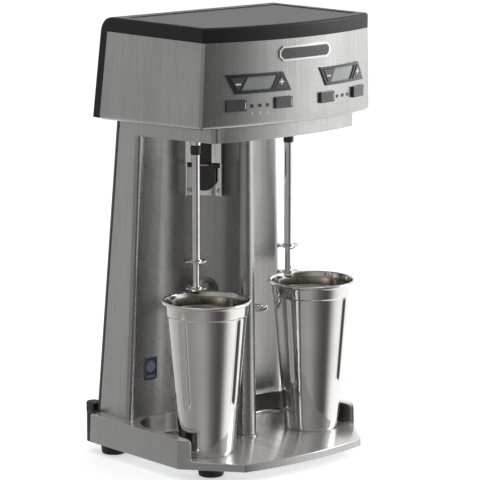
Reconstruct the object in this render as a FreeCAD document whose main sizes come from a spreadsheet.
import FreeCAD, Part
import math
import os
import Sketcher
from FreeCAD import Vector, Placement, Rotation

# Twin-spindle drink mixer. Millimetres, +Z up. Origin: table level, on the
# symmetry plane, at the middle of the depth. Front = -Y, left = -X. The pieces are
# drawn about the line through both spindle axes and moved by depth_shift at the end.

os.makedirs("parts", exist_ok=True)
doc = FreeCAD.newDocument("drink_mixer")
sheet = doc.addObject("Spreadsheet::Sheet", "Dims")

# Driving dimensions: (alias, value)
TABLE = [
    # base casting
    ("base_under", 12.0), ("plate_top", 20.6), ("deck_top", 45.0),
    ("base_half", 135.4), ("base_corner_y", 42.8), ("front_half", 89.1),
    ("front_corner_y", 103.5), ("base_bow", 401.0), ("base_rear_y", 117.0),
    ("base_rear_half", 131.5), ("base_draft", 1.2), ("base_skin", 4.0),
    ("well_half", 123.0), ("well_back_y", 62.0), ("well_side_y", 22.0),
    ("well_corner", 41.5), ("well_fin_arc", 54.0), ("well_fin_y", 8.0),
    ("well_end_y", 51.5), ("foot_rad", 15.0), ("foot_front_x", 94.5),
    ("foot_front_y", 52.0), ("foot_rear_x", 112.0), ("foot_rear_y", 97.0),
    ("cover_sheet", 1.2),
    # column casting
    ("col_top", 376.0), ("nose_low", 12.0), ("nose_high", 8.0),
    ("nose_y", 5.0), ("alcove_low", 62.0), ("alcove_high", 58.0),
    ("alcove_low_y", 8.0), ("alcove_high_y", 4.0),
    ("lip_low_x", 119.5), ("lip_low_y", 67.5), ("lip_high_x", 106.0),
    ("lip_high_y", 62.5), ("lip_rad", 5.0), ("col_rear_low_x", 116.5),
    ("col_rear_low_y", 116.0), ("col_rear_high_x", 104.5),
    ("col_rear_high_y", 92.0), ("col_wall", 4.0), ("back_bow", 130.0),
    # skirt under the head
    ("skirt_half", 106.0), ("skirt_corner_y", 70.0), ("skirt_bow", 321.0),
    ("skirt_low", 373.9), ("skirt_slope", 0.0402), ("skirt_floor", 380.0),
    # head
    ("head_low", 384.0), ("head_top", 487.8), ("head_half_low", 128.6),
    ("head_half_high", 124.0), ("head_bow", 330.0), ("bow_centre_y", 231.0),
    ("head_rear_low_y", 98.5), ("head_rear_high_y", 88.0),
    ("head_seam", 391.1), ("head_slope", 0.0308), ("head_floor", 397.5),
    ("head_wall", 3.0), ("cap_top", 504.5), ("cap_half_top", 123.0),
    ("cap_rear_low", 390.0), ("cap_rear_thick", 10.6), ("cap_rear_round", 20.0),
    # spindle stations
    ("spindle_x", 70.6), ("spindle_rad", 4.65), ("spindle_tip_rad", 3.75),
    ("spindle_join", 388.0), ("upper_disc", 233.0), ("lower_disc", 199.8),
    ("disc_rad", 13.5), ("disc_thick", 2.4), ("run_clear", 0.05),
    ("motor_base", 404.5), ("motor_rad", 42.0), ("motor_top", 470.0),
    ("motor_hole", 35.5), ("shaft_rad", 5.0),
    # cup guides and rests, set back from each spindle
    ("guide_turn", 52.0), ("guide_dist", 57.6), ("guide_low", 298.0),
    ("guide_high", 371.3), ("guide_half", 20.4), ("paddle_pin", 334.0),
    ("rest_dist", 61.4), ("rest_low", 157.0), ("rest_high", 201.0),
    ("rest_rod", 160.0),
    # cups
    ("cup_left_x", 80.4), ("cup_left_y", 28.9), ("cup_right_x", 87.6),
    ("cup_right_y", 22.5), ("cup_tall", 174.5), ("cup_rim", 51.0),
    ("cup_foot", 31.8), ("cup_skin", 1.0),
    # controls on the head's front
    ("unit_left", -59.9), ("unit_right", 66.5), ("bezel_top", 452.5),
    ("bezel_low", 431.2), ("key_top", 424.6), ("key_low", 412.6),
    ("led_z", 417.3), ("fit_gap", 0.35), ("badge_x", 3.3), ("badge_z", 471.9),
    # fasteners
    ("screw_rad", 2.0), ("screw_hole", 2.1),
    # from the spindle line to the middle of the depth
    ("depth_shift", -16.25),
]

SIDES = (("left", -1), ("right", 1))
CORNERS = ((1, 1), (-1, 1), (1, -1), (-1, -1))
BACK_TO_FRONT = (0, -1, 0)
# screws through the deck into the column: (tag, distance from the middle)
COLUMN_SCREWS = (("a", 90), ("b", 36))
COLUMN_SCREW_Y = 94
# screws of the rear covers: x from the middle, height
CAP_SCREW_X, CAP_SCREW_Z = 100, 394.6
HIGH_SCREW_X, HIGH_SCREW_Z = 60, 377.5
LOW_SCREW_X, LOW_SCREW_Z = 96, 28.0
# cup guides: screws (across, height) and the switch plunger
GUIDE_SCREWS = ((-15.8, 304.0), (15.8, 304.0), (-15.8, 362.0), (15.8, 362.0))
PLUNGER_Z = 312.0
REST_SCREW_LOW, REST_SCREW_HIGH = 171.0, 192.0
# controls, measured from the middle of each unit
LED_SPOTS = (-9.6, 0.4, 10.1)
SPEED_SPAN = (-40.5, -18.2)
PULSE_SPAN = (19.4, 41.6)

# ------------------------------------------------------- numbers with expressions
OPERATIONS = {
    "+": lambda a, b: a + b,
    "-": lambda a, b: a - b,
    "*": lambda a, b: a * b,
    "/": lambda a, b: a / b,
}


class Dim:
    """A number together with the expression over sheet cells that gives it."""

    def __init__(self, value, expr=None):
        self.value = float(value)
        self.expr = expr

    def text(self):
        return self.expr if self.expr is not None else "(%.6f)" % self.value

    def combine(self, other, sign, swap=False):
        other = as_dim(other)
        left, right = (other, self) if swap else (self, other)
        value = OPERATIONS[sign](left.value, right.value)
        if left.expr is None and right.expr is None:
            return Dim(value)
        return Dim(value, "(%s %s %s)" % (left.text(), sign, right.text()))

    def __add__(self, other):
        return self.combine(other, "+")

    def __radd__(self, other):
        return self.combine(other, "+", True)

    def __sub__(self, other):
        return self.combine(other, "-")

    def __rsub__(self, other):
        return self.combine(other, "-", True)

    def __mul__(self, other):
        return self.combine(other, "*")

    def __rmul__(self, other):
        return self.combine(other, "*", True)

    def __truediv__(self, other):
        return self.combine(other, "/")

    def __neg__(self):
        return Dim(-self.value, None if self.expr is None else "(0 - %s)" % self.expr)


def as_dim(x):
    return x if isinstance(x, Dim) else Dim(x)


class Cells:
    """One attribute for each alias of the sheet."""


dim = Cells()
for row, (alias, value) in enumerate(TABLE, start=1):
    sheet.set("A%d" % row, alias.replace("_", " "))
    sheet.set("B%d" % row, "%.6g" % value)
    sheet.setAlias("B%d" % row, alias)
    setattr(dim, alias, Dim(value, "Dims." + alias))
doc.recompute()

NODES = []  # the pieces to be written out


# ------------------------------------------------------------- document helpers
def bind(obj, prop, val):
    """Set a property; sheet values and parts of a placement go in as expressions."""
    val = as_dim(val)
    if val.expr is not None:
        obj.setExpression(prop, val.expr)
    elif "." in prop:
        obj.setExpression(prop, "%.6f" % val.value)
    else:
        setattr(obj, prop, val.value)


def place(obj, x=0, y=0, z=0, turn=None):
    for axis, val in (("x", x), ("y", y), ("z", z)):
        val = as_dim(val)
        if val.expr is not None or abs(val.value) > 1e-12:
            bind(obj, "Placement.Base." + axis, val)
    if turn is not None:
        turn = as_dim(turn)
        obj.Placement = Placement(obj.Placement.Base, Rotation(Vector(0, 0, 1), turn.value))
        obj.setExpression("Placement.Rotation.Angle", "%s * 1 deg" % turn.text())
    return obj


def node(obj, label):
    obj.Label = label
    NODES.append(obj)
    return obj


def new_body(name):
    return doc.addObject("PartDesign::Body", name)


def origin_part(body, role):
    return [f for f in body.Origin.OriginFeatures if f.Role == role][0]


# -------------------------------------------------------------------- sketches
def sketch(body, name, plane="XY", offset=0):
    """Sketch on an origin plane. A positive offset on XZ goes to the front."""
    made = body.newObject("Sketcher::SketchObject", name)
    made.AttachmentSupport = [(origin_part(body, plane + "_Plane"), "")]
    made.MapMode = "FlatFace"
    offset = as_dim(offset)
    if offset.expr is not None or abs(offset.value) > 1e-12:
        made.setExpression("AttachmentOffset.Base.z", offset.text())
    return made


def constrain(sk, pairs):
    """pairs: (constraint, driving Dim or None) each."""
    ids = sk.addConstraint([constraint for constraint, _ in pairs])
    for i, (_, val) in zip(ids, pairs):
        if val is not None and val.expr is not None:
            sk.setExpression("Constraints[%d]" % i, val.expr)


def hold(geo, point, x, y):
    """Constraints that hold a point at (x, y); a plain zero puts it on the axis."""
    pairs = []
    for kind, axis, val in (("DistanceX", -2, x), ("DistanceY", -1, y)):
        if val.expr is None and abs(val.value) < 1e-9:
            pairs.append((Sketcher.Constraint("PointOnObject", geo, point, axis), None))
        else:
            pairs.append((Sketcher.Constraint(kind, -1, 1, geo, point, val.value), val))
    return pairs


def loop(sk, points, arcs=None):
    """Closed outline. points: (x, y) each; arcs: edge index -> (radius, side),
    side +1 when the centre lies to the left of the direction of travel."""
    arcs = arcs or {}
    points = [(as_dim(x), as_dim(y)) for x, y in points]
    corners = [Vector(x.value, y.value, 0) for x, y in points]
    geometry = []
    ends = []  # (start, end) point numbers of each edge, in the direction of travel
    for i, start in enumerate(corners):
        end = corners[(i + 1) % len(corners)]
        if i not in arcs:
            geometry.append(Part.LineSegment(start, end))
            ends.append((1, 2))
            continue
        radius, side = arcs[i]
        radius = as_dim(radius).value
        half = (end - start).Length / 2
        height = math.sqrt(max(radius * radius - half * half, 0.0))
        along = (end - start).normalize()
        centre = (start + end) * 0.5 + Vector(-along.y, along.x, 0) * (height * side)
        from_angle = math.atan2(start.y - centre.y, start.x - centre.x)
        to_angle = math.atan2(end.y - centre.y, end.x - centre.x)
        circle = Part.Circle(centre, Vector(0, 0, 1), radius)
        if side > 0:
            geometry.append(Part.ArcOfCircle(circle, from_angle, to_angle))
            ends.append((1, 2))
        else:
            geometry.append(Part.ArcOfCircle(circle, to_angle, from_angle))
            ends.append((2, 1))
    ids = sk.addGeometry(geometry, False)
    pairs = []
    for i in range(len(ids)):
        joint = Sketcher.Constraint("Coincident", ids[i - 1], ends[i - 1][1], ids[i], ends[i][0])
        pairs.append((joint, None))
    for i, (x, y) in enumerate(points):
        pairs += hold(ids[i], ends[i][0], x, y)
        if i in arcs:
            radius = as_dim(arcs[i][0])
            pairs.append((Sketcher.Constraint("Radius", ids[i], radius.value), radius))
    constrain(sk, pairs)
    return sk


def ring(sk, x, y, radius):
    x, y, radius = as_dim(x), as_dim(y), as_dim(radius)
    circle = Part.Circle(Vector(x.value, y.value, 0), Vector(0, 0, 1), radius.value)
    i = sk.addGeometry(circle, False)
    constrain(sk, [(Sketcher.Constraint("Radius", i, radius.value), radius)] + hold(i, 3, x, y))
    return sk


def box(x0, y0, x1, y1):
    return [(x0, y0), (x1, y0), (x1, y1), (x0, y1)]


def twin_loop(sk, half, arcs=None, front=None):
    """Right half of an outline, front to rear, closed with its mirror image in X.
    front: radius of the edge across the front, when that is bowed."""
    arcs = arcs or {}
    mirror = [(-as_dim(x), y) for x, y in reversed(half)]
    both = dict(arcs)
    for i, arc in arcs.items():
        both[2 * len(half) - 2 - i] = arc
    if front is not None:
        both[2 * len(half) - 1] = (front, 1)
    return loop(sk, list(half) + mirror, both)


# -------------------------------------------------------------------- features
def extrude(body, kind, name, profile, length, reverse):
    made = body.newObject("PartDesign::" + kind, name)
    made.Profile = profile
    bind(made, "Length", length)
    made.Reversed = reverse
    return made


def pad(body, name, profile, length, reverse=False):
    return extrude(body, "Pad", name, profile, length, reverse)


def pocket(body, name, profile, length, reverse=False):
    return extrude(body, "Pocket", name, profile, length, reverse)


def loft(body, kind, name, low, high):
    made = body.newObject("PartDesign::" + kind, name)
    made.Profile = low
    made.Sections = [high]
    made.Ruled = True
    return made


def revolve(body, name, profile):
    """profile: (radius, height) each, turned about the body's Z axis."""
    outline = loop(sketch(body, name + "_profile", "XZ"), profile)
    made = body.newObject("PartDesign::Revolution", name)
    made.Profile = outline
    made.ReferenceAxis = (outline, ["V_Axis"])
    made.Angle = 360.0


def turned(name, turn_name, profile, x, y=0, z=0):
    """Body of one revolution, placed."""
    body = new_body(name)
    revolve(body, turn_name, profile)
    return place(body, x, y, z)


def polar(body, name, original, count):
    doc.recompute()
    made = body.newObject("PartDesign::PolarPattern", name)
    made.Originals = [original]
    made.Axis = (origin_part(body, "Z_Axis"), [""])
    made.Angle = 360
    made.Occurrences = count
    body.Tip = made


def edges_near(shape, test):
    """Names of the edges for which test(middle point, edge) holds."""
    names = []
    for i, edge in enumerate(shape.Edges, start=1):
        # guards against an edge that has no curve to evaluate
        try:
            mid = edge.valueAt((edge.FirstParameter + edge.LastParameter) / 2)
        except Exception:
            continue
        if test(mid, edge):
            names.append("Edge%d" % i)
    return names


def fillet(body, name, base, test, radius):
    doc.recompute()
    names = edges_near(base.Shape, test)
    if not names:
        raise RuntimeError("no edges for " + name)
    made = body.newObject("PartDesign::Fillet", name)
    made.Base = (base, names)
    bind(made, "Radius", radius)
    doc.recompute()
    if "Invalid" in made.State or made.Shape.isNull() or not made.Shape.isValid():
        raise RuntimeError("edge rounding failed: " + name)
    return made


def soft_round(body, name, base, test, radius):
    """Edge rounding that is left out when the kernel can't build it."""
    # guards against a fillet with no edges or no valid shape
    try:
        return fillet(body, name, base, test, radius)
    except RuntimeError:
        made = doc.getObject(name)
        if made is not None:
            body.removeObject(made)
            doc.removeObject(name)
        body.Tip = base
        doc.recompute()
        return base


def cyl(name, radius, height, x, y, z, axis=(0, 0, 1)):
    made = doc.addObject("Part::Cylinder", name)
    bind(made, "Radius", radius)
    bind(made, "Height", height)
    if tuple(axis) != (0, 0, 1):
        made.Placement = Placement(Vector(0, 0, 0), Rotation(Vector(0, 0, 1), Vector(*axis)))
    for letter, val in (("x", x), ("y", y), ("z", z)):
        bind(made, "Placement.Base." + letter, val)
    return made


def cutout(name, base, tools):
    tool = doc.addObject("Part::Compound", name + "_tools")
    tool.Links = tools
    made = doc.addObject("Part::Cut", name + "_cut")
    made.Base = base
    made.Tool = tool
    return node(made, name)


def group(name, members):
    made = doc.addObject("Part::Compound", name + "_set")
    made.Links = members
    return node(made, name)


def screw(name, x, y, z, axis=(0, 0, -1), length=10.0, head=3.6, head_tall=2.4,
          radius=dim.screw_rad):
    """Pan-head screw: shank along axis from the seat at (x, y, z)."""
    body = new_body(name)
    revolve(body, name + "_turn", [
        (0, -length), (radius, -length), (radius, 0), (head, 0),
        (head, head_tall * 0.55), (head * 0.72, head_tall), (0, head_tall)])
    # cross recess
    reach = head * 0.62
    for slot, half_x, half_y in (("_slot", reach, 0.4), ("_slot2", 0.4, reach)):
        outline = sketch(body, name + slot, "XY", head_tall)
        loop(outline, box(-half_x, -half_y, half_x, half_y))
        pocket(body, name + slot + "_cut", outline, 0.9)
    body.Placement = Placement(Vector(0, 0, 0), Rotation(Vector(0, 0, -1), Vector(*axis)))
    for letter, val in (("x", x), ("y", y), ("z", z)):
        bind(body, "Placement.Base." + letter, val)
    return body


# ------------------------------------------------------------- shared geometry
guide_angle = math.radians(dim.guide_turn.value)
guide_sin = Dim(math.sin(guide_angle), "sin(Dims.guide_turn * 1 deg)")
guide_cos = Dim(math.cos(guide_angle), "cos(Dims.guide_turn * 1 deg)")


def station(sx, dist, across=0.0):
    """Point at a distance from the spindle towards its guide, and across it."""
    x = sx * dim.spindle_x - sx * guide_sin * dist + guide_cos * across
    y = guide_cos * dist + sx * guide_sin * across
    return x, y


def into_wall(sx):
    return (-sx * guide_sin.value, guide_cos.value, 0)


def wall_cyl(name, radius, length, sx, dist, z, across=0.0):
    """Cylinder from a station, running away from the spindle."""
    x, y = station(sx, dist, across)
    return cyl(name, radius, length, x, y, z, into_wall(sx))


def wall_screw(name, sx, dist, z, across=0.0, **sizes):
    x, y = station(sx, dist, across)
    return screw(name, x, y, z, axis=into_wall(sx), **sizes)


def foot_holes(prefix, height):
    """Vertical screw holes of the four feet."""
    spots = (("f", dim.foot_front_x, -dim.foot_front_y), ("b", dim.foot_rear_x, dim.foot_rear_y))
    return [cyl(prefix + end + side[0], dim.screw_hole, height, sx * x, y, dim.base_under - 1)
            for side, sx in SIDES for end, x, y in spots]


def motor_holes(prefix, side, sx, height, z, radius=dim.screw_hole):
    """Four vertical cylinders round a spindle, where the motor is screwed down."""
    return [cyl("%s_%s%d" % (prefix, side, k), radius, height,
                sx * dim.spindle_x + mx * dim.motor_hole, my * dim.motor_hole, z)
            for k, (mx, my) in enumerate(CORNERS)]


def between(z, z_low, z_high, low, high):
    return low + (high - low) / (z_high - z_low) * (z - z_low)


def column_rear(z):
    """Half width and y of the column's rear edge at height z."""
    span = (z, dim.deck_top, dim.col_top)
    return (between(*span, dim.col_rear_low_x, dim.col_rear_high_x),
            between(*span, dim.col_rear_low_y, dim.col_rear_high_y))


def head_rear(z):
    """Half width and y of the head's rear edge at height z."""
    span = (z, dim.head_low, dim.head_top)
    return (between(*span, dim.head_half_low, dim.head_half_high),
            between(*span, dim.head_rear_low_y, dim.head_rear_high_y))


def bow_y(x, radius):
    """y on a vertical cylinder about (0, bow_centre_y), as on the head's front."""
    square = as_dim(radius) * radius - as_dim(x) * x
    return dim.bow_centre_y - Dim(math.sqrt(square.value), "sqrt(%s)" % square.text())


def bow_section(body, name, z, half_width, rear_y, inset=0.0):
    """Level outline with the head's bowed front, moved in at the front and sides."""
    half_width = half_width - inset
    radius = dim.head_bow - inset
    half = [(half_width, bow_y(half_width, radius)), (half_width, rear_y)]
    return twin_loop(sketch(body, name, "XY", z), half, front=radius)


def wedge(body, name, at_axis, slope, above, far):
    """Cut away everything above (or below) a plane that rises to the front."""
    front, rear = -130.0, 130.0
    z_front, z_rear = at_axis - slope * front, at_axis - slope * rear
    if above:
        points = [(front, z_front), (rear, z_rear), (rear, z_rear + far), (front, z_front + far)]
    else:
        points = [(front, z_front), (front, z_front - far), (rear, z_rear - far), (rear, z_rear)]
    outline = loop(sketch(body, name + "_side", "YZ", -160), points)
    return pocket(body, name, outline, 320, True)


# ---------------------------------------------------------------- base casting
def base_section(body, name, front_in=0, nose_in=0, side_in=0, corner_in=0, rear_in=0):
    """Base outline at its underside, moved in by the given amounts."""
    half = [(dim.front_half - front_in, -(dim.front_corner_y - nose_in)),
            (dim.base_half - side_in, -(dim.base_corner_y - corner_in)),
            (dim.base_rear_half - side_in, dim.base_rear_y - rear_in)]
    return twin_loop(sketch(body, name, "XY", dim.base_under), half, front=dim.base_bow)


body = new_body("base_casting_body")
block = pad(body, "base_block", base_section(body, "base_outline"), dim.deck_top - dim.base_under)
bind(block, "TaperAngle", -dim.base_draft)
# cup wells, open to the front, leaving a rim on three sides
half = [(170, -160), (170, -88), (dim.well_half, -dim.well_end_y),
        (dim.well_half, dim.well_side_y), (84.0, dim.well_back_y),
        (dim.well_fin_arc + dim.nose_low, dim.well_back_y), (dim.nose_low, dim.well_fin_y)]
outline = twin_loop(sketch(body, "well_outline", "XY", dim.deck_top), half,
                    {3: (dim.well_corner, 1), 5: (dim.well_fin_arc, 1)})
pocket(body, "wells", outline, dim.deck_top - dim.plate_top)
# relief under the plate for the bottom cover
outline = base_section(body, "under_outline", 3.5, 5.5, 6, 2.5, 5)
relief_depth = dim.plate_top - dim.base_skin - dim.base_under
pocket(body, "under_relief", outline, relief_depth, True)
# hollow rear deck
outline = loop(sketch(body, "rear_hollow", "XY", dim.base_under),
               box(-108, 76, 108, dim.base_rear_y - 5))
pocket(body, "rear_hollow_cut", outline, dim.deck_top - dim.base_skin - dim.base_under, True)
# foot bosses
outline = sketch(body, "boss_outline", "XY", dim.base_under + dim.cover_sheet)
for sx in (-1, 1):
    ring(outline, sx * dim.foot_front_x, -dim.foot_front_y, 6)
    ring(outline, sx * dim.foot_rear_x, dim.foot_rear_y, 6)
last = pad(body, "foot_bosses", outline, relief_depth - dim.cover_sheet + 1.0)
# vertical corners of the outline
last = fillet(
    body, "outline_round", last,
    lambda mid, edge: abs(edge.BoundBox.ZLength) > 5 and mid.z > 12.5 and
    (abs(abs(mid.x) - 135) < 1.6 and abs(mid.y + 42.5) < 2.5 or
     abs(abs(mid.x) - 89) < 2 and abs(mid.y + 103) < 3), 3.0)
# foot of the well walls
last = fillet(
    body, "well_root", last,
    lambda mid, edge: abs(mid.z - 20.6) < 0.05 and abs(mid.x) > 13.5 and
    mid.y > -62 and mid.y < 62.5 and edge.Length > 2 and abs(mid.x) < 129, 4.0)
# stepped ends of the side walls
last = fillet(
    body, "step_top", last,
    lambda mid, edge: abs(mid.z - 45) < 0.05 and
    120 < abs(mid.x) < 129 and -62 < mid.y < -47 and edge.Length > 2, 5.0)
soft_round(
    body, "rim_edge", last,
    lambda mid, edge: abs(mid.z - 45) < 0.05 and mid.y < 116.2 and
    edge.Length > 6 and abs(mid.x) > 13.5, 1.2)
tools = foot_holes("foot_hole_", 8)
for side, sx in SIDES:
    for tag, x in COLUMN_SCREWS:
        tools.append(cyl("col_hole_" + tag + side[0], dim.screw_hole, 8,
                         sx * x, COLUMN_SCREW_Y, dim.deck_top - 6))
    tools.append(cyl("rear_hole_" + side[0], dim.screw_hole, 12,
                     sx * LOW_SCREW_X, dim.base_rear_y + 2, LOW_SCREW_Z, BACK_TO_FRONT))
cutout("base_casting", body, tools)

# bottom cover sheet
body = new_body("bottom_cover_body")
outline = base_section(body, "bottom_cover_outline", 4, 6, 6.5, 2.5, 5.5)
pad(body, "bottom_sheet", outline, dim.cover_sheet)
outline = sketch(body, "vent_row", "XY", dim.base_under)
for k in range(-4, 5):
    ring(outline, 9.0 * k, 60, 2.4)
pocket(body, "vents", outline, 3, True)
cutout("base_bottom_cover", body, foot_holes("sheet_hole_", 4))

# rubber feet and their screws, and the screws up into the column
FOOT_SCREW_SEAT = 5.0
BASE_SCREW_LENGTH = 12.5
feet, base_screws = [], []
for k, (x, y) in enumerate(((-dim.foot_front_x, -dim.foot_front_y),
                            (dim.foot_front_x, -dim.foot_front_y),
                            (-dim.foot_rear_x, dim.foot_rear_y),
                            (dim.foot_rear_x, dim.foot_rear_y))):
    feet.append(turned("foot_%d" % k, "foot_turn_%d" % k, [
        (dim.screw_hole, dim.base_under), (dim.screw_hole, FOOT_SCREW_SEAT),
        (5.0, FOOT_SCREW_SEAT), (5.0, 0), (dim.foot_rad - 2.2, 0), (dim.foot_rad - 1.0, 0.9),
        (dim.foot_rad, dim.base_under - 1.0), (dim.foot_rad - 0.8, dim.base_under)], x, y))
    base_screws.append(screw("foot_screw_%d" % k, x, y, FOOT_SCREW_SEAT,
                             axis=(0, 0, 1), length=BASE_SCREW_LENGTH))
for k, x in enumerate((-90, -36, 36, 90)):
    base_screws.append(screw("column_screw_%d" % k, x, COLUMN_SCREW_Y,
                             dim.deck_top - dim.base_skin,
                             axis=(0, 0, 1), length=BASE_SCREW_LENGTH))
group("rubber_feet", feet)
group("base_screws", base_screws)


# -------------------------------------------------------------- column casting
def column_sizes(level):
    """Nose half width, alcove radius and y, lip x and y, rear x and y at a level."""
    return [getattr(dim, name % level) for name in (
        "nose_%s", "alcove_%s", "alcove_%s_y", "lip_%s_x", "lip_%s_y",
        "col_rear_%s_x", "col_rear_%s_y")]


def column_section(body, name, z, level):
    """Column outline: fin nose, two round alcoves, lips and straight sides."""
    nose, alcove, alcove_y, lip_x, lip_y, rear_x, rear_y = column_sizes(level)
    half = [(nose, -dim.nose_y), (nose, alcove_y), (nose + alcove, alcove_y + alcove),
            (lip_x - dim.lip_rad, lip_y - dim.lip_rad), (lip_x, lip_y), (rear_x, rear_y)]
    arcs = {1: (alcove, -1), 2: (dim.back_bow, -1), 3: (dim.lip_rad, 1)}
    return twin_loop(sketch(body, name, "XY", z), half, arcs, nose + 0.001)


def cavity_section(body, name, z, level):
    """Inside of the column, running out past its rear."""
    nose, alcove, alcove_y, lip_x, lip_y, rear_x, rear_y = column_sizes(level)
    wall = dim.col_wall
    half = [(nose - wall + 0.4, alcove_y + 6), (nose + alcove, alcove_y + alcove + wall),
            (lip_x - dim.lip_rad - 2, lip_y - dim.lip_rad + wall + 1),
            (lip_x - wall, lip_y + 4), (rear_x - wall, rear_y + 20)]
    arcs = {0: (alcove + wall, -1), 1: (dim.back_bow + wall, -1)}
    return twin_loop(sketch(body, name, "XY", z), half, arcs)


body = new_body("column_casting_body")
# roof skirt: its outline, then the sloping top and the sloping underside
half = [(dim.skirt_half - 6, -(dim.skirt_corner_y + 2.0)),
        (dim.skirt_half, -(dim.skirt_corner_y - 4.5)),
        (dim.skirt_half, 62), (dim.col_rear_high_x, dim.col_rear_high_y - 1.0)]
outline = twin_loop(sketch(body, "skirt_outline", "XY", 360.0), half, {0: (6.6, 1)}, dim.skirt_bow)
pad(body, "skirt_block", outline, 38.0)
wedge(body, "skirt_top", dim.head_seam, dim.head_slope, True, 60.0)
wedge(body, "skirt_under", dim.skirt_low, dim.skirt_slope, False, 60.0)
# column below it, running up into the skirt
loft(body, "AdditiveLoft", "column_block",
     column_section(body, "column_low", dim.deck_top, "low"),
     column_section(body, "column_high", dim.col_top, "high"))
# tray inside the skirt
half = [(dim.skirt_half - 10, -(dim.skirt_corner_y - 1)),
        (dim.skirt_half - 4, -(dim.skirt_corner_y - 7)),
        (dim.skirt_half - 4, 62), (dim.col_rear_high_x - 5, dim.col_rear_high_y - 5.5)]
outline = twin_loop(sketch(body, "tray_outline", "XY", dim.skirt_floor), half,
                    front=dim.skirt_bow)
pocket(body, "tray", outline, 30, True)
# hollow of the column, open to the rear
loft(body, "SubtractiveLoft", "cavity",
     cavity_section(body, "cavity_low", dim.deck_top + 5, "low"),
     cavity_section(body, "cavity_high", dim.col_top + 8, "high"))
# foot of the fin, standing on the plate, and a collar round it
for name, grow, rear_y, height in (
        ("fin_foot", 0, dim.well_fin_y, dim.deck_top - dim.plate_top),
        ("fin_collar", 2.6, dim.well_fin_y - 0.2, 2.8)):
    half_width = dim.nose_low + grow
    points = [(half_width, -dim.nose_y), (half_width, rear_y),
              (-half_width, rear_y), (-half_width, -dim.nose_y)]
    outline = loop(sketch(body, name, "XY", dim.plate_top), points, {3: (half_width + 0.001, 1)})
    last = pad(body, name + "_pad", outline, height)
soft_round(
    body, "fin_collar_round", last,
    lambda mid, edge: abs(mid.z - 23.4) < 0.05 and abs(mid.x) < 15.5 and
    mid.y < 7 and (abs(mid.x) > 13 or mid.y < -17.6), 2.2)

tools = []
for side, sx in SIDES:
    tag = side[0]
    tools.append(cyl("bush_hole_" + tag, 7.05, 20, sx * dim.spindle_x, 0, 366))
    for k, (across, z) in enumerate(GUIDE_SCREWS):
        tools.append(wall_cyl("guide_hole_%s%d" % (tag, k), dim.screw_hole - 0.5, 12,
                              sx, dim.guide_dist + 1.6, z, across))
    tools.append(wall_cyl("plunger_hole_" + tag, 2.6, 14, sx, dim.guide_dist + 1.6, PLUNGER_Z))
    for k, z in enumerate((REST_SCREW_LOW, REST_SCREW_HIGH)):
        tools.append(wall_cyl("rest_hole_%s%d" % (tag, k), dim.screw_hole, 12,
                              sx, dim.rest_dist - 0.5, z))
    for end, x in COLUMN_SCREWS:
        tools.append(cyl("col_floor_" + end + tag, dim.screw_hole, 8,
                         sx * x, COLUMN_SCREW_Y, dim.deck_top - 1))
    tools.append(cyl("skirt_rear_hole_" + tag, dim.screw_hole, 14, sx * HIGH_SCREW_X,
                     dim.col_rear_high_y + 2, HIGH_SCREW_Z, BACK_TO_FRONT))
cutout("column_casting", body, tools)

# ---------------------------------------------------------------- rear cover
REAR_COVER_TOP = 386.0
REAR_COVER_BACK = 10.2  # from the column's rear edge to the cover's back


def rear_section(body, name, z, front, back, trim, chop):
    """Slice of the cover; chop narrows its back, with rounded corners."""
    half_width, y = column_rear(z)
    half_front = half_width - trim
    half_back = half_width - trim - chop
    points = [(-half_front, y + front), (half_front, y + front),
              (half_back, y + back), (-half_back, y + back)]
    corner = (back - front + 1.0, 1)
    return loop(sketch(body, name, "XY", z), points, {1: corner, 3: corner} if chop else None)


body = new_body("column_rear_cover_body")
half_width = dim.base_rear_half
outline = sketch(body, "rear_base_outline", "XY", dim.base_under + 0.3)
loop(outline, [(-half_width, dim.base_rear_y + 0.2), (half_width, dim.base_rear_y + 0.2),
               (half_width - 5, dim.base_rear_y + 10), (5 - half_width, dim.base_rear_y + 10)],
     {1: (9, 1), 3: (9, 1)})
pad(body, "rear_base_block", outline, dim.deck_top - dim.base_under + 0.5)
loft(body, "AdditiveLoft", "rear_block",
     rear_section(body, "rear_low", dim.deck_top, 0.2, REAR_COVER_BACK, 0.0, 5.0),
     rear_section(body, "rear_high", REAR_COVER_TOP, 0.2, REAR_COVER_BACK, 0.0, 5.0))
loft(body, "SubtractiveLoft", "rear_hollow_loft",
     rear_section(body, "rear_hollow_low", dim.deck_top + 2, -1.0, 7.2, 8.0, 0),
     rear_section(body, "rear_hollow_high", REAR_COVER_TOP - 12, -1.0, 7.2, 8.0, 0))
outline = loop(sketch(body, "rear_base_hollow", "XY", dim.base_under + 0.3),
               box(8 - half_width, dim.base_rear_y - 1, half_width - 8, dim.base_rear_y + 7))
pocket(body, "rear_base_hollow_cut", outline, dim.deck_top - dim.base_under - 3, True)
# ventilation slots, high on the cover; the end radius just clears half the height
outline = sketch(body, "rear_vents", "XZ", -150)
for k in range(6):
    z = 330 - 12 * k
    loop(outline, box(-38, z, 38, z + 4), {1: (2.0001, 1), 3: (2.0001, 1)})
pocket(body, "rear_vents_cut", outline, 60, True)
tools = []
for side, sx in SIDES:
    tools.append(cyl("cover_hole_hi_" + side[0], dim.screw_hole, 16,
                     sx * HIGH_SCREW_X, 104, HIGH_SCREW_Z, BACK_TO_FRONT))
    tools.append(cyl("cover_hole_lo_" + side[0], dim.screw_hole, 16,
                     sx * LOW_SCREW_X, 130, LOW_SCREW_Z, BACK_TO_FRONT))
cutout("column_rear_cover", body, tools)


# ------------------------------------------------------------------ head shell
# outlines of the controls, in the plane of the front (x across, y up)
def bezel_points(unit, grow=0.0):
    low, top = dim.bezel_low - grow, dim.bezel_top + grow
    return [(unit - 30.1 - grow, low), (unit + 41.6 + grow, low),
            (unit + 29.5 + grow, top), (unit - 41.6 - grow, top)]


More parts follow.
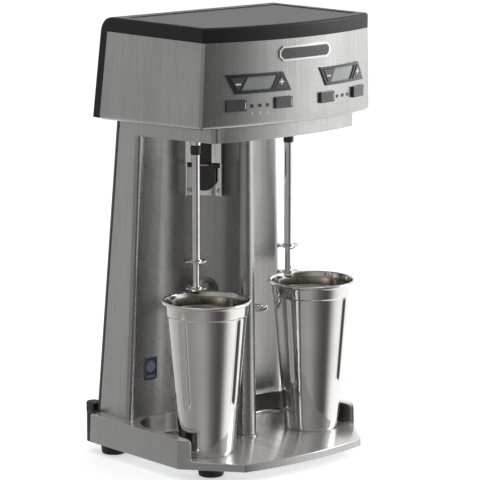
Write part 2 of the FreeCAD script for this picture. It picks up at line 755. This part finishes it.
def key_points(unit, span, grow=0.0):
    return box(unit + span[0] - grow, dim.key_low - grow, unit + span[1] + grow, dim.key_top + grow)


body = new_body("head_shell_body")
loft(body, "AdditiveLoft", "head_block",
     bow_section(body, "head_low_outline", dim.head_low, dim.head_half_low, dim.head_rear_low_y),
     bow_section(body, "head_high_outline", dim.head_top, dim.head_half_high,
                 dim.head_rear_high_y))
last = wedge(body, "head_under", dim.head_seam, dim.head_slope, False, 40.0)
last = fillet(body, "head_corner_round", last,
              lambda mid, edge: edge.BoundBox.ZLength > 50 and mid.y < 0, 5.0)
fillet(body, "head_lip_round", last,
       lambda mid, edge: mid.z < 396 and mid.y < 96 and edge.Length > 4 and
       edge.BoundBox.ZLength < 8, 5.5)
# hollow, open to the rear and the top
loft(body, "SubtractiveLoft", "head_hollow",
     bow_section(body, "head_hollow_low", dim.head_floor, head_rear(dim.head_floor)[0],
                 dim.head_rear_low_y + 30, dim.head_wall),
     bow_section(body, "head_hollow_high", dim.head_top + 0.5, dim.head_half_high,
                 dim.head_rear_high_y + 30, dim.head_wall))
outline = sketch(body, "head_floor_holes", "XY", dim.head_floor + 1)
ring(outline, -dim.spindle_x, 0, 15)
ring(outline, dim.spindle_x, 0, 15)
loop(outline, box(-40, 66, 40, 86))
pocket(body, "head_floor_cut", outline, 20)
outline = sketch(body, "front_openings", "XZ", 130)
for unit in (dim.unit_left, dim.unit_right):
    loop(outline, bezel_points(unit, 0.15))
    loop(outline, key_points(unit, SPEED_SPAN, dim.fit_gap))
    loop(outline, key_points(unit, PULSE_SPAN, dim.fit_gap))
    for spot in LED_SPOTS:
        ring(outline, unit + spot, dim.led_z, 2.1)
pocket(body, "front_openings_cut", outline, 80)
tools = []
for side, sx in SIDES:
    tools.append(cyl("cap_hole_" + side[0], dim.screw_hole, 12,
                     sx * CAP_SCREW_X, 99, CAP_SCREW_Z, BACK_TO_FRONT))
    tools += motor_holes("motor_floor_hole", side[0], sx, 6, dim.head_floor - 3.8)
cutout("head_shell", body, tools)

# -------------------------------------------------------------------- head cap
CAP_REAR_BACK = 11.6  # from the head's rear face to the cap's back
cap_low = dim.head_top + 0.05


def cap_rear_section(body, name, z, front, back, trim):
    half_width, y = head_rear(z)
    return loop(sketch(body, name, "XY", z),
                box(trim - half_width, y + front, half_width - trim, y + back))


body = new_body("head_cap_body")
outline = bow_section(body, "cap_low_outline", cap_low, dim.head_half_high,
                      dim.head_rear_high_y + dim.cap_rear_thick + 1.0)
last = pad(body, "cap_block", outline, dim.cap_top - dim.head_top - 0.05)
last = soft_round(body, "cap_front_corner", last,
                  lambda mid, edge: mid.y < 0 and edge.BoundBox.ZLength > 14, 4.5)
soft_round(body, "cap_top_round", last,
           lambda mid, edge: mid.z > 504 and edge.Length > 3 and mid.y < 90, 3.0)
# rear wall of the cap, hanging down behind the head
loft(body, "AdditiveLoft", "cap_rear_block",
     cap_rear_section(body, "cap_rear_low", dim.cap_rear_low, 0.15, CAP_REAR_BACK, 0.0),
     cap_rear_section(body, "cap_rear_high", cap_low, 0.15, CAP_REAR_BACK, 0.0))
# round over the top rear edge
outline = sketch(body, "cap_rear_top_side", "YZ", -160)
rear = dim.head_rear_high_y + dim.cap_rear_thick + 1.2
radius = dim.cap_rear_round
loop(outline, [(rear, dim.cap_top - radius), (rear + 12, dim.cap_top - radius),
               (rear + 12, dim.cap_top + 6), (rear - radius, dim.cap_top + 6),
               (rear - radius, dim.cap_top)], {4: (radius, -1)})
last = pocket(body, "cap_rear_top_round", outline, 320, True)
soft_round(
    body, "cap_rear_corner", last,
    lambda mid, edge: mid.y > 97 and edge.BoundBox.ZLength > 60 and abs(mid.x) > 110, 3.0)
outline = bow_section(body, "cap_hollow", dim.head_top - 1, dim.cap_half_top, 84, 4)
pocket(body, "cap_hollow_cut", outline, dim.cap_top - dim.head_top - 2.2, True)
loft(body, "SubtractiveLoft", "cap_rear_hollow",
     cap_rear_section(body, "cap_rear_hollow_low", dim.cap_rear_low + 8, -2.0, 8.4, 4.0),
     cap_rear_section(body, "cap_rear_hollow_high", dim.head_top - 6, -2.0, 8.4, 4.0))
# shallow panel on the top
outline = bow_section(body, "cap_panel", dim.cap_top, dim.cap_half_top, 66, 12)
pocket(body, "cap_panel_cut", outline, 0.8)
cutout("head_cap", body, [cyl("cap_screw_hole_" + side[0], dim.screw_hole, 16,
                              sx * CAP_SCREW_X, 112, CAP_SCREW_Z, BACK_TO_FRONT)
                          for side, sx in SIDES])

# screws of the covers, driven in from the rear: (tag, x, y, z, length)
COVER_SCREWS = (
    ("cap", CAP_SCREW_X, head_rear(CAP_SCREW_Z)[1] + CAP_REAR_BACK + 0.4, CAP_SCREW_Z, 18),
    ("hi", HIGH_SCREW_X, column_rear(HIGH_SCREW_Z)[1] + REAR_COVER_BACK + 0.3, HIGH_SCREW_Z, 18),
    ("lo", LOW_SCREW_X, dim.base_rear_y + 10.05, LOW_SCREW_Z, 14),
)
group("cover_screws", [
    screw("cover_screw_%s_%d" % (tag, k), sx * x, y, z, axis=BACK_TO_FRONT, length=length)
    for k, sx in enumerate((-1, 1)) for tag, x, y, z, length in COVER_SCREWS])

# ------------------------------------------------------------------ motor deck
PLATE_THICK = 3.0
FLANGE_THICK = 2.5
body = new_body("motor_plate_body")
outline = loop(sketch(body, "motor_plate_outline", "XY", dim.head_floor), box(-116, -48, 116, 60))
pad(body, "motor_plate_pad", outline, PLATE_THICK)
outline = sketch(body, "motor_plate_holes", "XY", dim.head_floor + PLATE_THICK)
ring(outline, -dim.spindle_x, 0, 13)
ring(outline, dim.spindle_x, 0, 13)
pocket(body, "motor_plate_bores", outline, 3.5)
tools = []
for side, sx in SIDES:
    tools += motor_holes("plate_hole", side[0], sx, 6, dim.head_floor - 1)
cutout("motor_plate", body, tools)

bushes, motor_screws = [], []
bush_low = dim.head_floor + PLATE_THICK
for _, sx in SIDES:
    for mx, my in CORNERS:
        k = len(bushes)
        x, y = sx * dim.spindle_x + mx * dim.motor_hole, my * dim.motor_hole
        bushes.append(turned("motor_bush_%d" % k, "motor_bush_turn_%d" % k, [
            (dim.screw_hole, bush_low), (6, bush_low), (5.2, bush_low + 2),
            (6, dim.motor_base), (dim.screw_hole, dim.motor_base)], x, y))
        motor_screws.append(screw("motor_screw_%d" % k, x, y, dim.motor_base + FLANGE_THICK,
                                  length=12.8))
group("motor_bushes", bushes)
group("motor_screws", motor_screws)


# --------------------------------------------------------- motors and spindles
def motor_can(side, sx):
    """Can with a chamfered square flange and four screw ears."""
    base = dim.motor_base
    inner = dim.motor_rad - 2.5
    body = new_body("motor_can_%s_body" % side)
    outline = loop(sketch(body, "flange_" + side, "XY", base), [
        (-30, -40), (30, -40), (40, -30), (40, 30), (30, 40), (-30, 40), (-40, 30), (-40, -30)])
    pad(body, "flange_pad_" + side, outline, FLANGE_THICK)
    revolve(body, "can_" + side, [
        (11.0, base), (39, base), (dim.motor_rad, base + 3), (dim.motor_rad, dim.motor_top),
        (inner, dim.motor_top), (inner, base + 5), (11.0, base + 5)])
    outline = ring(sketch(body, "flange_bore_" + side, "XY", base), 0, 0, 11.0)
    pocket(body, "flange_bore_cut_" + side, outline, 5.2, True)
    outline = sketch(body, "can_vent_" + side, "XZ", 60)
    for k in range(-3, 4):
        loop(outline, box(8.0 * k - 2, 414, 8.0 * k + 2, 420))
    pocket(body, "can_vent_cut_" + side, outline, 120)
    place(body, sx * dim.spindle_x)
    tools = motor_holes("flange_hole", side, sx, 8, base - 2)
    fused = doc.addObject("Part::MultiFuse", "motor_can_%s_ears" % side)
    fused.Shapes = [body] + motor_holes("ear", side, sx, FLANGE_THICK, base, 6.5)
    cutout("motor_can_" + side, fused, tools)


def end_cap(side, x):
    """End cap with the upper bearing seat."""
    top = dim.motor_top
    return turned("motor_end_cap_" + side, "end_cap_turn_" + side, [
        (8.0, top + 1), (14, top + 1), (30, top + 0.1), (dim.motor_rad, top + 0.1),
        (dim.motor_rad, top + 4), (36, top + 8), (14, top + 12), (8.0, top + 12)], x)


def stator(side, x):
    outer = dim.motor_rad - 2.55
    return turned("stator_" + side, "stator_turn_" + side, box(27, 426, outer, 456), x)


def windings(side, x):
    """Rings below and above the stator."""
    return [turned("winding_%s_%d" % (side, k), "winding_turn_%s_%d" % (side, k),
                   box(28, low, 38, high), x)
            for k, (low, high) in enumerate(((421.0, 425.9), (456.1, 462.0)))]


def bearings(side, x):
    bore = dim.shaft_rad + dim.run_clear
    base, top = dim.motor_base, dim.motor_top
    spans = ((base - 3.3, base + 4.8, 10.95), (top + 3.5, top + 11.5, 7.95))
    return [turned("bearing_%s_%d" % (side, k), "bearing_turn_%s_%d" % (side, k),
                   box(bore, low, outer, high), x)
            for k, (low, high, outer) in enumerate(spans)]


def spindle_bush(side, x):
    """Chrome bush where the spindle leaves the skirt."""
    bore = dim.spindle_rad + dim.run_clear
    return turned("spindle_bush_" + side, "spindle_bush_turn_" + side, [
        (bore, 364.6), (5.7, 364.6), (6.6, 369.3), (9.0, 370.3), (9.0, 373.4),
        (7.0, 373.4), (7.0, 380.4), (bore, 380.4)], x)


def rotor(side, x):
    shaft, end = dim.shaft_rad, dim.motor_top + 12.5
    node(turned("rotor_%s_body" % side, "rotor_turn_" + side, [
        (3.0, dim.spindle_join), (shaft, dim.spindle_join), (shaft, 426), (26, 426),
        (26, 456), (shaft, 456), (shaft, 462.5), (12, 462.5), (12, 470), (shaft, 470),
        (shaft, end), (0, end), (0, dim.spindle_join + 11.5),
        (3.0, dim.spindle_join + 11.5)], x), "rotor_" + side)


def cooling_fan(side, x):
    body = new_body("cooling_fan_%s_body" % side)
    revolve(body, "fan_hub_" + side, [
        (dim.shaft_rad, 412), (8, 412), (8, 413), (34, 413), (34, 414.2), (8, 414.2),
        (8, 420), (dim.shaft_rad, 420)])
    outline = loop(sketch(body, "fan_blade_" + side, "XY", 413.5),
                   [(7, -0.8), (33, -4.0), (33.2, -2.4), (7, 0.8)])
    blade = pad(body, "fan_blade_pad_" + side, outline, 6.0)
    polar(body, "fan_blades_" + side, blade, 9)
    node(place(body, x), "cooling_fan_" + side)


def spindle(side, x):
    """Stepped rod with a stub that enters the rotor's shaft."""
    step, join = dim.upper_disc - 2.4, dim.spindle_join
    node(turned("spindle_%s_body" % side, "spindle_turn_" + side, [
        (0, 197.0), (dim.spindle_tip_rad, 197.0), (dim.spindle_tip_rad, step),
        (dim.spindle_rad, step), (dim.spindle_rad, join), (3.0, join),
        (3.0, join + 11.0), (0, join + 11.0)], x), "spindle_" + side)


def spindle_collar(side, x):
    node(turned("spindle_collar_%s_body" % side, "collar_turn_" + side, [
        (dim.spindle_rad, 353.6), (5.2, 353.6), (5.9, 354.6), (5.9, 363.0), (5.2, 364.2),
        (dim.spindle_rad, 364.2)], x), "spindle_collar_" + side)


def agitator(name, x, z, profile):
    """Hubbed disc at height z, with six scallops round the rim."""
    body = new_body(name + "_body")
    revolve(body, name + "_turn", profile)
    outline = sketch(body, name + "_scallop", "XY", z + dim.disc_thick / 2)
    ring(outline, dim.disc_rad + 1.2, 0, 2.6)
    scallop = pocket(body, name + "_scallop_cut", outline, dim.disc_thick)
    polar(body, name + "_scallops", scallop, 6)
    node(place(body, x), name)


def agitators(side, x):
    half, disc, tip = dim.disc_thick / 2, dim.disc_rad, dim.spindle_tip_rad
    # the hub under the upper disc closes on the step of the spindle
    z, bore = dim.upper_disc, dim.spindle_rad
    agitator("upper_agitator_" + side, x, z, [
        (bore, z + 4.2), (bore, z - 2.4), (tip, z - 2.4), (tip, z - 4.5), (6.2, z - 4.5),
        (6.8, z - half), (disc, z - half), (disc, z + half), (6.8, z + half), (6.0, z + 4.2)])
    z = dim.lower_disc
    agitator("lower_agitator_" + side, x, z, [
        (tip, z - half), (disc, z - half), (disc, z + half), (6.4, z + half),
        (5.6, z + 5.5), (tip, z + 5.5)])


def agitator_nut(side, x):
    node(turned("agitator_nut_%s_body" % side, "nut_turn_" + side, [
        (0, 196.0), (3.4, 196.0), (4.9, 197.2), (5.2, 198.5), (dim.spindle_tip_rad, 198.5),
        (dim.spindle_tip_rad, 197.0), (0, 197.0)], x), "agitator_nut_" + side)


end_caps, stators, all_windings, all_bearings, spindle_bushes = [], [], [], [], []
for side, sx in SIDES:
    x = sx * dim.spindle_x
    motor_can(side, sx)
    end_caps.append(end_cap(side, x))
    stators.append(stator(side, x))
    all_windings += windings(side, x)
    all_bearings += bearings(side, x)
    spindle_bushes.append(spindle_bush(side, x))
    rotor(side, x)
    cooling_fan(side, x)
    spindle(side, x)
    spindle_collar(side, x)
    agitators(side, x)
    agitator_nut(side, x)
group("motor_end_caps", end_caps)
group("motor_stators", stators + all_windings)
group("motor_bearings", all_bearings)
group("spindle_bushes", spindle_bushes)

# ------------------------------------------------- cup guides and cup rests
# Local frame of each guide: x across, -y out from the wall towards the spindle.
PIN_Y = -7.5
PIN_RAD = 1.5


def at_wall(body, sx, dist=dim.guide_dist):
    x, y = station(sx, dist)
    return place(body, x, y, 0, sx * dim.guide_turn)


def guide_bracket(side, sx):
    """Upright channel, open to the spindle, with a lip on each side of its top part."""
    half, inner = dim.guide_half, dim.guide_half - 1.4
    body = new_body("guide_bracket_%s_body" % side)
    outline = loop(sketch(body, "bracket_low_" + side, "XY", dim.guide_low), [
        (-half, 1.5), (-half, -11), (-inner, -11), (-inner, 0), (inner, 0), (inner, -11),
        (half, -11), (half, 1.5)])
    pad(body, "bracket_channel_" + side, outline, dim.guide_high - dim.guide_low)
    for tag, x0, x1 in (("a", -half, -9.5), ("b", 9.5, half)):
        outline = loop(sketch(body, "bracket_lip_" + tag + side, "XY", dim.paddle_pin + 3.5),
                       box(x0, -12.4, x1, -11.0))
        last = pad(body, "bracket_lip_pad_" + tag + side, outline,
                   dim.guide_high - dim.paddle_pin - 3.5)
    fillet(
        body, "bracket_round_" + side, last,
        lambda mid, edge: abs(mid.z - 298) < 0.1 and abs(mid.y) < 1.6 and
        abs(abs(mid.x) - 20.4) < 0.05 and edge.BoundBox.YLength > 1.2 and edge.Length < 2.0 or
        abs(mid.z - 298) < 0.1 and abs(mid.y + 11) < 0.05 and edge.Length < 1.6, 0.6)
    at_wall(body, sx)
    tools = [wall_cyl("bracket_hole_%s%d" % (side, k), dim.screw_hole - 0.5, 6,
                      sx, dim.guide_dist - 2, z, across)
             for k, (across, z) in enumerate(GUIDE_SCREWS)]
    tools.append(wall_cyl("bracket_plunger_" + side, 2.6, 6, sx, dim.guide_dist - 2, PLUNGER_Z))
    # cross-pin holes in both flanges
    x, y = station(sx, dim.guide_dist + PIN_Y, -24)
    tools.append(cyl("bracket_pin_" + side, PIN_RAD, 48, x, y, dim.paddle_pin,
                     axis=(guide_cos.value, sx * guide_sin.value, 0)))
    cutout("guide_bracket_" + side, body, tools)


def guide_block(side, sx):
    """Black block above the paddle, hollowed to follow a cup's rim."""
    half = dim.guide_half - 1.6
    body = new_body("guide_block_" + side)
    outline = loop(sketch(body, "block_outline_" + side, "XY", dim.paddle_pin + 4), [
        (-half, -0.2), (-half, -10.8), (-9.4, -10.8), (-9.4, -11.6), (9.4, -11.6),
        (9.4, -10.8), (half, -10.8), (half, -0.2)], {3: (50.0, 1)})
    pad(body, "block_pad_" + side, outline, dim.guide_high - dim.paddle_pin - 4.4)
    outline = sketch(body, "block_relief_" + side, "XZ", 14)
    for across, z in GUIDE_SCREWS[2:]:
        ring(outline, across, z, 3.6)
    pocket(body, "block_relief_cut_" + side, outline, 14.5)
    return at_wall(body, sx)


def switch_paddle(side, sx):
    """Hub on the cross pin, with a concave blade below it."""
    body = new_body("switch_paddle_%s_body" % side)
    outline = loop(sketch(body, "paddle_face_" + side, "XZ", 13), [
        (-12.8, 333.0), (-12.8, 313.0), (12.8, 313.0), (12.8, 333.0)], {1: (14.0, 1)})
    pad(body, "paddle_blade_" + side, outline, 8.0, True)
    outline = ring(sketch(body, "paddle_hub_" + side, "YZ", -18.6), PIN_Y, dim.paddle_pin, 3.0)
    pad(body, "paddle_hub_pad_" + side, outline, 37.2)
    outline = ring(sketch(body, "paddle_front_" + side, "XY", 290), 0, -dim.guide_dist, 48.8)
    pocket(body, "paddle_front_cut_" + side, outline, 60, True)
    outline = ring(sketch(body, "paddle_bore_" + side, "YZ", -30), PIN_Y, dim.paddle_pin,
                   PIN_RAD + dim.run_clear)
    pocket(body, "paddle_bore_cut_" + side, outline, 60, True)
    node(at_wall(body, sx), "switch_paddle_" + side)


def paddle_pin(side, sx):
    body = new_body("paddle_pin_" + side)
    outline = ring(sketch(body, "pin_round_" + side, "YZ", -21.6), PIN_Y, dim.paddle_pin, PIN_RAD)
    pad(body, "pin_pad_" + side, outline, 43.2)
    return at_wall(body, sx)


def microswitch(side, sx):
    """Switch inside the fin, its plunger reaching out through the wall."""
    body = new_body("microswitch_" + side)
    outline = loop(sketch(body, "switch_outline_" + side, "XY", 303), box(-4, 11.4, 4, 19.4))
    pad(body, "switch_pad_" + side, outline, 20)
    outline = ring(sketch(body, "plunger_round_" + side, "XZ", -12), 0, PLUNGER_Z, 1.8)
    pad(body, "plunger_pad_" + side, outline, 13.2)
    return at_wall(body, sx)


def hoop(body, side):
    """Round rod swept along a U that reaches out from the plate."""
    bend, root, reach = 9, 1, 26
    path = sketch(body, "hoop_path_" + side, "XY", dim.rest_rod)
    circle = Part.Circle(Vector(0, -reach, 0), Vector(0, 0, 1), bend)
    path.addGeometry([
        Part.LineSegment(Vector(-bend, -root, 0), Vector(-bend, -reach, 0)),
        Part.ArcOfCircle(circle, math.pi, 2 * math.pi),
        Part.LineSegment(Vector(bend, -reach, 0), Vector(bend, -root, 0))], False)
    path.addConstraint([
        Sketcher.Constraint("Tangent", 0, 2, 1, 1),
        Sketcher.Constraint("Tangent", 1, 2, 2, 1),
        Sketcher.Constraint("Radius", 1, float(bend)),
        Sketcher.Constraint("Vertical", 0),
        Sketcher.Constraint("PointOnObject", 1, 3, -2),
        Sketcher.Constraint("DistanceY", -1, 1, 1, 3, -float(reach)),
        Sketcher.Constraint("DistanceY", -1, 1, 0, 1, -float(root)),
        Sketcher.Constraint("DistanceY", -1, 1, 2, 2, -float(root))])
    section = ring(sketch(body, "hoop_section_" + side, "XZ", root), -bend, dim.rest_rod, 3.0)
    pipe = body.newObject("PartDesign::AdditivePipe", "hoop_" + side)
    pipe.Profile = section
    pipe.Spine = (path, [])


def cup_rest(side, sx):
    """Arched back plate, saddle block and a bent hoop."""
    body = new_body("cup_rest_%s_body" % side)
    outline = loop(sketch(body, "rest_arch_" + side, "XZ"),
                   box(-12, dim.rest_low, 12, dim.rest_high - 12), {2: (12.0001, 1)})
    pad(body, "rest_plate_" + side, outline, 2.5)
    outline = loop(sketch(body, "rest_saddle_" + side, "XY", dim.rest_rod + 5),
                   [(-7, -2.4), (-7, -13), (7, -13), (7, -2.4)], {1: (20, -1)})
    pad(body, "rest_saddle_pad_" + side, outline, 12.0)
    hoop(body, side)
    at_wall(body, sx, dim.rest_dist)
    near, far = dim.rest_dist - 5, dim.rest_dist - 16
    cutout("cup_rest_" + side, body, [
        wall_cyl("rest_plate_hole_%s0" % side, dim.screw_hole, 20, sx, far, REST_SCREW_LOW),
        wall_cyl("rest_plate_sink_%s0" % side, 4.0, 8, sx, far, REST_SCREW_LOW),
        wall_cyl("rest_plate_hole_%s1" % side, dim.screw_hole, 8, sx, near, REST_SCREW_HIGH)])


def bracket_screws(side, sx):
    made = [wall_screw("guide_screw_%s%d" % (side, k), sx, dim.guide_dist, z, across,
                       length=8.0, head=2.7, head_tall=1.8, radius=dim.screw_rad - 0.5)
            for k, (across, z) in enumerate(GUIDE_SCREWS)]
    made.append(wall_screw("rest_screw_hi_" + side, sx, dim.rest_dist - 2.5, REST_SCREW_HIGH,
                           length=9))
    made.append(wall_screw("rest_screw_lo_" + side, sx, dim.rest_dist - 8, REST_SCREW_LOW,
                           length=14))
    return made


blocks, pins, switches, wall_screws = [], [], [], []
for side, sx in SIDES:
    guide_bracket(side, sx)
    blocks.append(guide_block(side, sx))
    switch_paddle(side, sx)
    pins.append(paddle_pin(side, sx))
    switches.append(microswitch(side, sx))
    cup_rest(side, sx)
    wall_screws += bracket_screws(side, sx)
group("guide_blocks", blocks)
group("paddle_pins", pins)
group("microswitches", switches)
group("bracket_screws", wall_screws)

# ------------------------------------------------------------------------ cups
tall, skin, rim, foot = dim.cup_tall, dim.cup_skin, dim.cup_rim, dim.cup_foot
band = rim - 4.6
waist = band - 1.4
# outside from the foot up, over the rolled rim, then down the inside
CUP_PROFILE = [
    (0, 1.2), (foot - 3.8, 1.2), (foot - 3.0, 0), (foot - 1.4, 0), (foot, 4.6),
    (waist, tall - 17.5), (band, tall - 16.2), (band + 0.4, tall - 8.0),
    (rim - 1.9, tall - 3.2), (rim, tall - 2.6), (rim, tall - 0.6), (rim - 1.4, tall),
    (rim - 2.9, tall - 0.8), (band - skin + 0.3, tall - 8.0), (band - skin, tall - 15.8),
    (waist - skin, tall - 17.9), (foot - 1.1, 5.0), (foot - 2.4, 2.4), (0, 2.2)]
for side, x, y in (("left", -dim.cup_left_x, -dim.cup_left_y),
                   ("right", dim.cup_right_x, -dim.cup_right_y)):
    node(turned("cup_%s_body" % side, "cup_turn_" + side, CUP_PROFILE, x, y, dim.plate_top),
         "cup_" + side)


# -------------------------------------------------- controls on the head front
def slab(name, outlines, proud, depth, circles=()):
    """Prism through the front, bounded by two cylinders that follow the head's bow:
    proud outside its surface and depth inside it."""
    body = new_body(name)
    face = sketch(body, name + "_face", "XZ", 120)
    for points in outlines:
        loop(face, points)
    for circle in circles:
        ring(face, *circle)
    pad(body, name + "_prism", face, 70, True)
    edge_x = 124.0
    outer, inner = dim.head_bow + proud, dim.head_bow - depth
    y = bow_y(edge_x, outer)
    outline = loop(sketch(body, name + "_front", "XY", 380),
                   [(-edge_x, y), (-edge_x, -140), (edge_x, -140), (edge_x, y)], {3: (outer, -1)})
    pocket(body, name + "_front_trim", outline, 110, True)
    outline = loop(sketch(body, name + "_back", "XY", 380),
                   box(-edge_x, bow_y(edge_x, inner), edge_x, -40), {0: (inner, 1)})
    pocket(body, name + "_back_trim", outline, 110, True)
    return body


def grown(triangle):
    """Triangle scaled about its centroid, to leave about fit_gap at each edge."""
    edge_dist = 4.6
    scale = 1 + dim.fit_gap / edge_dist
    mid_x = (triangle[0][0] + triangle[1][0] + triangle[2][0]) / 3.0
    mid_z = (triangle[0][1] + triangle[1][1] + triangle[2][1]) / 3.0
    return [(mid_x + (x - mid_x) * scale, mid_z + (z - mid_z) * scale) for x, z in triangle]


leds, lcds = [], []
for side, unit in (("left", dim.unit_left), ("right", dim.unit_right)):
    minus = [(unit - 36.2, 449.4), (unit - 27.6, 434.9), (unit - 19.0, 449.4)]
    plus = [(unit + 18.2, 434.4), (unit + 36.0, 434.4), (unit + 27.3, 449.0)]
    window = [(unit - 23.6, 434.6), (unit + 14.6, 434.6),
              (unit + 22.9, 449.2), (unit - 15.3, 449.2)]
    lcd = [(unit - 23.4, 434.75), (unit + 14.5, 434.75),
           (unit + 22.65, 449.05), (unit - 15.2, 449.05)]
    node(slab("display_bezel_%s_body" % side,
              [bezel_points(unit), grown([(as_dim(x), as_dim(z)) for x, z in minus]),
               grown([(as_dim(x), as_dim(z)) for x, z in plus]), window], 1.8, 6.0),
         "display_bezel_" + side)
    lcds.append(slab("lcd_window_" + side, [lcd], 0.4, 3.0))
    for key, points, proud, depth in (
            ("minus", minus, 2.6, 8.0), ("plus", plus, 2.6, 8.0),
            ("speed", key_points(unit, SPEED_SPAN), 3.4, 7.0),
            ("pulse", key_points(unit, PULSE_SPAN), 3.4, 7.0)):
        name = "%s_key_%s" % (key, side)
        node(slab(name + "_body", [points], proud, depth), name)
    for k, spot in enumerate(LED_SPOTS):
        leds.append(slab("led_%s_%d" % (side, k), [], 0.5, 6.0,
                         [(unit + spot, dim.led_z, 2.05)]))
group("lcd_windows", lcds)
group("indicator_lights", leds)

# blank badge with clipped corners, fixed on the shell
BADGE_OUTLINE = [  # x, z from the middle of the badge
    (-33, -8.2), (33, -8.2), (38.2, -3.4), (38.2, 3.4),
    (33, 8.2), (-33, 8.2), (-38.2, 3.4), (-38.2, -3.4)]
points = [(dim.badge_x + x, dim.badge_z + z) for x, z in BADGE_OUTLINE]
node(slab("badge_body", [points], 2.0, -0.02), "badge_plate")

# control board behind the front, with small square blocks through it behind the keys
BLOCK_SPOTS = ((-29.3, 418.6), (30.5, 418.6), (-27.6, 444.6), (27.2, 439.4))
body = new_body("control_board_body")
outline = loop(sketch(body, "board_outline", "XZ", 70.4), box(-100, 404, 100, 456))
pad(body, "board_pad", outline, 1.6)
outline = sketch(body, "board_parts", "XZ", 68.0)
for unit in (dim.unit_left, dim.unit_right):
    for spot_x, z in BLOCK_SPOTS:
        x = unit + spot_x
        if abs(x.value) < 96:  # leaves out a block that would overhang the board
            loop(outline, box(x - 3, z - 3, x + 3, z + 3))
pad(body, "board_parts_pad", outline, 6.6)
node(body, "control_board")

# cord gland at the rear foot
body = new_body("cord_gland_body")
gland_y = dim.base_rear_y + 10.05
outline = loop(sketch(body, "gland_outline", "XY", 40),
               [(-118, gland_y), (-99, gland_y), (-101, 142), (-116, 142)], {2: (9.0, 1)})
last = pad(body, "gland_block", outline, 13)
fillet(body, "gland_round", last,
       lambda mid, edge: (abs(mid.z - 53) < 0.1 or abs(mid.z - 40) < 0.1) and mid.y > 128, 1.5)
node(body, "cord_gland")

# blank label in the left alcove
body = new_body("column_label_body")
outline = loop(sketch(body, "label_outline", "XZ"), [
    (-7.8, -13), (7.8, -13), (10, -10.8), (10, 10.8),
    (7.8, 13), (-7.8, 13), (-10, 10.8), (-10, -10.8)], {i: (2.3, 1) for i in (1, 3, 5, 7)})
pad(body, "label_pad", outline, 0.5)
tilt = Rotation(Vector(0, 0, 1), 4.6).multiply(Rotation(Vector(1, 0, 0), 1.45))
body.Placement = Placement(Vector(-81, 67.7, 99), tilt)
node(body, "column_label")

# ------------------------------------------------------- common frame, output
for piece in NODES:
    held = dict(piece.ExpressionEngine)
    base = held.get("Placement.Base.y") or held.get(".Placement.Base.y")
    if base is None:
        base = "%.6f" % piece.Placement.Base.y
    piece.setExpression("Placement.Base.y", "(%s) + Dims.depth_shift" % base)
doc.recompute()
failed = [(obj.Name, list(obj.State)) for obj in doc.Objects
          if "Invalid" in obj.State or "Error" in obj.State]
if failed:
    raise RuntimeError("failed objects: %r" % failed)
if len({piece.Label for piece in NODES}) < len(NODES):
    raise RuntimeError("a label is used twice")
for piece in NODES:
    if piece.Shape.isNull() or not piece.Shape.isValid() or not piece.Shape.Solids:
        raise RuntimeError("bad shape in " + piece.Label)
for piece in NODES:
    piece.Shape.exportStep("parts/%s.step" % piece.Label)
